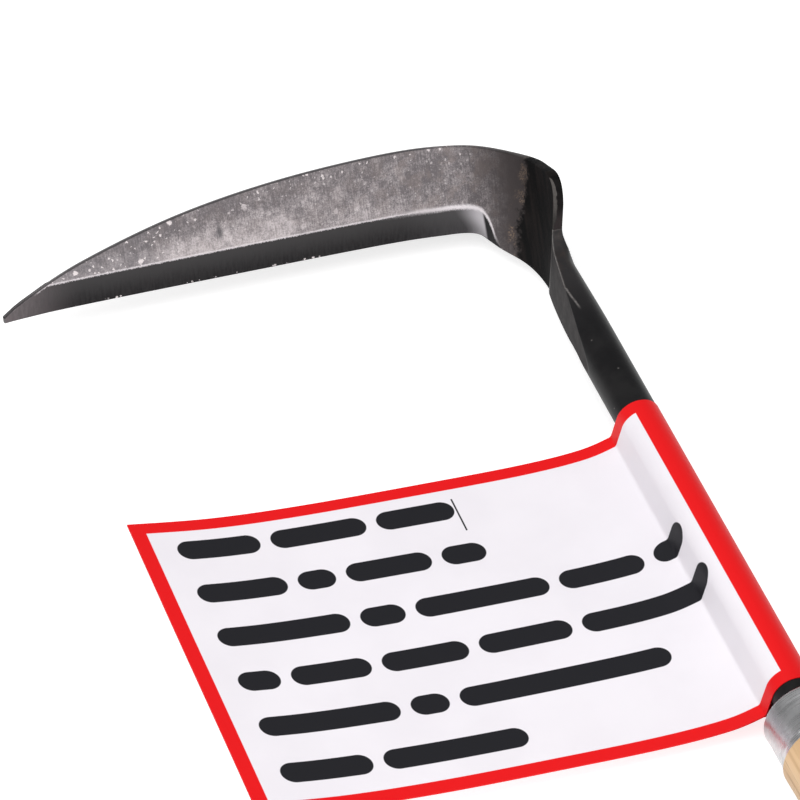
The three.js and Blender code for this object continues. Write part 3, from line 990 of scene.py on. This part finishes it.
def make_label():
    path, loop_start, loop_end = label_path()
    top = along_shank(label_high.y)
    bottom = along_shank(label_low.y)
    rows = 60
    across = []
    distance = [0.0]
    for i, point in enumerate(path):
        ahead, behind = path[min(i + 1, len(path) - 1)], path[max(i - 1, 0)]
        along = (ahead - behind).normalized()
        across.append(Vector((-along.y, along.x)))
        if i:
            distance.append(distance[-1] + (point - path[i - 1]).length)
    half = CARD / 2
    vertices, along_values, down_values, face_values = [], [], [], []
    for row in range(rows + 1):
        y = lerp(top, bottom, row / rows)
        for layer, offset in ((1.0, half), (0.0, -half)):
            for i, point in enumerate(path):
                free = smooth(CREASE[0], -60, point.x)
                ripple = noise.noise(Vector((point.x * 0.018, y * 0.021, 3.7))) * 0.5 * free
                where = point + across[i] * offset
                vertices.append(place(where.x, y, where.y + ripple))
                along_values.append(distance[i])
                down_values.append(top - y)
                face_values.append(layer)
    wide = len(path)
    faces = []
    for row in range(rows):
        a, b = row * 2 * wide, (row + 1) * 2 * wide
        for i in range(wide - 1):
            faces.append((a + i, a + i + 1, b + i + 1, b + i))
            faces.append((a + wide + i, b + wide + i, b + wide + i + 1, a + wide + i + 1))
        faces.append((a, b, b + wide, a + wide))
        e = wide - 1
        faces.append((a + e, a + wide + e, b + wide + e, b + e))
    for i in range(wide - 1):
        faces.append((i, wide + i, wide + i + 1, i + 1))
        last = rows * 2 * wide
        faces.append((last + i, last + i + 1, last + wide + i + 1, last + wide + i))
    obj = facing_out(new_object("label_folded", vertices, faces, sharp=50))
    float_layer(obj, "along", along_values)
    float_layer(obj, "down", down_values)
    float_layer(obj, "printed_face", face_values)
    red_from = distance[loop_start] + (LEAVES_SHANK - RED_FROM) * LABEL_LOOP_R
    return obj, card_finish(distance[-1], top - bottom, red_from, distance[loop_end])


def card_finish(sheet_length, sheet_height, red_from, red_to):
    """White coated card: a red border, red where it wraps the shank, and rows of plain dark bars."""
    f = Finish("label_card")
    along, down = f.attribute("along"), f.attribute("down")
    soft = 0.12

    def band(value, low, high):
        rising = f.span(value, low - soft, low + soft)
        falling = f.span(value, high - soft, high + soft, 1, 0)
        return f.math("MULTIPLY", rising, falling)

    def rounded_bar(left, right, centre, thickness):
        """A bar with round ends, as 1 inside it and 0 outside."""
        radius = thickness / 2
        beyond = f.math("MAXIMUM", f.math("SUBTRACT", left + radius, along),
                        f.math("SUBTRACT", along, right - radius))
        beyond = f.math("MAXIMUM", beyond, 0.0)
        aside = f.math("SUBTRACT", down, centre)
        reach = f.math("ADD", f.math("MULTIPLY", beyond, beyond), f.math("MULTIPLY", aside, aside))
        return f.span(f.math("SQRT", reach), radius + soft, radius - soft)

    red = f.math("SUBTRACT", 1.0, f.math("MULTIPLY", band(along, LABEL_BORDER, sheet_length - LABEL_BORDER),
                                         band(down, LABEL_BORDER, sheet_height - LABEL_BORDER)))
    red = f.math("MAXIMUM", red, band(along, red_from, red_to))

    bars = band(along, 92.4, 92.9)
    bars = f.math("MULTIPLY", bars, band(down, 8.2, 21.6))
    margin, first_row, row_pitch, thickness = 11.0, 12.3, 18.2, 7.6
    rows = ((24, 55, 81), (26, 40, 68, 84), (38, 54, 96, 124, 141), (12, 38, 66, 96, 142), (40, 54, 118),
            (26, 70))
    for row, ends in enumerate(rows):
        left = 0.0
        for right in ends:
            bar = rounded_bar(margin + left, margin + right, first_row + row * row_pitch, thickness)
            bars = f.math("MAXIMUM", bars, bar)
            left = right + 3.2

    space = f.object_space()
    mottle = f.noise(space, 45, 3, 0.5)
    white = f.blend(f.span(mottle, 0.3, 0.7), CARD_WHITE, CARD_WHITE_LIGHT)
    tone = f.blend(bars, white, INK)
    tone = f.blend(red, tone, RED)
    fibre = f.noise(space, 2200, 3, 0.6)
    f.set(Base_Color=tone, Roughness=0.5, Specular_IOR_Level=0.2, Normal=f.bump(fibre, 0.05, 0.00003))
    return f


# ------------------------------------------------------------------ camera, floor and light
CAMERA_AZIMUTH = math.radians(-20.27)
CAMERA_ELEVATION = math.radians(41.15)
CAMERA_ROLL = math.radians(1.93)
CAMERA_DISTANCE = 1595.1
CAMERA_TARGET = (-61.68, -44.93, 0.0)
CAMERA_LENS = 253.4


def make_camera():
    back = Vector((math.sin(CAMERA_AZIMUTH) * math.cos(CAMERA_ELEVATION),
                   -math.cos(CAMERA_AZIMUTH) * math.cos(CAMERA_ELEVATION), math.sin(CAMERA_ELEVATION)))
    level = Vector((0, 0, 1)).cross(back).normalized()
    upright = back.cross(level)
    right = level * math.cos(CAMERA_ROLL) + upright * math.sin(CAMERA_ROLL)
    up = upright * math.cos(CAMERA_ROLL) - level * math.sin(CAMERA_ROLL)
    data = bpy.data.cameras.new("camera")
    data.lens = CAMERA_LENS
    data.sensor_width = 36
    data.clip_end = 50
    camera = bpy.data.objects.new("camera", data)
    matrix = Matrix((right, up, back)).transposed().to_4x4()
    matrix.translation = place(*CAMERA_TARGET) + back * CAMERA_DISTANCE * MM
    camera.matrix_world = matrix
    bpy.context.scene.collection.objects.link(camera)
    bpy.context.scene.camera = camera


def make_floor():
    """A plain light floor at height 0."""
    reach = 6.0
    corners = [(-reach, -reach, 0), (reach, -reach, 0), (reach, reach, 0), (-reach, reach, 0)]
    mesh = bpy.data.meshes.new("floor")
    mesh.from_pydata(corners, [], [(0, 1, 2, 3)])
    floor = bpy.data.objects.new("floor", mesh)
    bpy.context.scene.collection.objects.link(floor)
    f = Finish("floor_paper")
    f.set(Base_Color=(0.62, 0.62, 0.62), Roughness=0.95, Specular_IOR_Level=0.2,
          Emission_Color=(1, 1, 1), Emission_Strength=0.58)
    wear(floor, f)


def area_light(name, position, aim, size, power):
    """A round lamp at position that faces aim."""
    data = bpy.data.lights.new(name, "AREA")
    data.shape = "DISK"
    data.size = size
    data.energy = power
    light = bpy.data.objects.new(name, data)
    light.location = position
    light.rotation_euler = (Vector(aim) - Vector(position)).to_track_quat("-Z", "Y").to_euler()
    bpy.context.scene.collection.objects.link(light)


def make_light():
    """An even white surround and two soft lamps."""
    world = bpy.data.worlds.new("studio")
    world.use_nodes = True
    world.node_tree.nodes["Background"].inputs["Color"].default_value = (1, 1, 1, 1)
    world.node_tree.nodes["Background"].inputs["Strength"].default_value = 0.35
    bpy.context.scene.world = world
    centre = (cad_box[0] + cad_box[1]) / 2
    area_light("overhead", centre + Vector((-0.55, -0.35, 1.4)), centre, size=1.7, power=27)
    area_light("front", centre + Vector((0.4, -1.5, 0.6)), centre, size=1.0, power=9)


# ------------------------------------------------------------------ the pieces
make_camera()
make_floor()
make_light()
bpy.context.scene.view_settings.view_transform = "Standard"

blade = make_blade()
wear(blade, blade_finish())
shank = make_shank()
wear(shank, black_paint("shank_paint"))
weld = make_weld()
wear(weld, black_paint("weld_paint"))
handle = make_handle()
wear(handle, wood_finish())
ferrule = make_ferrule()
wear(ferrule, bright_steel("ferrule_steel", FERRULE_DARK, FERRULE_LIGHT))
pin = make_pin()
wear(pin, bright_steel("pin_steel", PIN_DARK, PIN_LIGHT))
label, card = make_label()
wear(label, card)

for piece, body, node, slot in (
    (blade, "tool", "blade", "blade_steel"),
    (weld, "tool", "weld_seam", "black_steel"),
    (shank, "tool", "shank", "black_steel"),
    (handle, "tool", "handle", "handle_wood"),
    (ferrule, "tool", "ferrule", "ferrule_steel"),
    (pin, "tool", "handle_pin", "pin_steel"),
    (label, "label", "label_card", "label_card"),
):
    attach(piece, body)
    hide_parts(node)
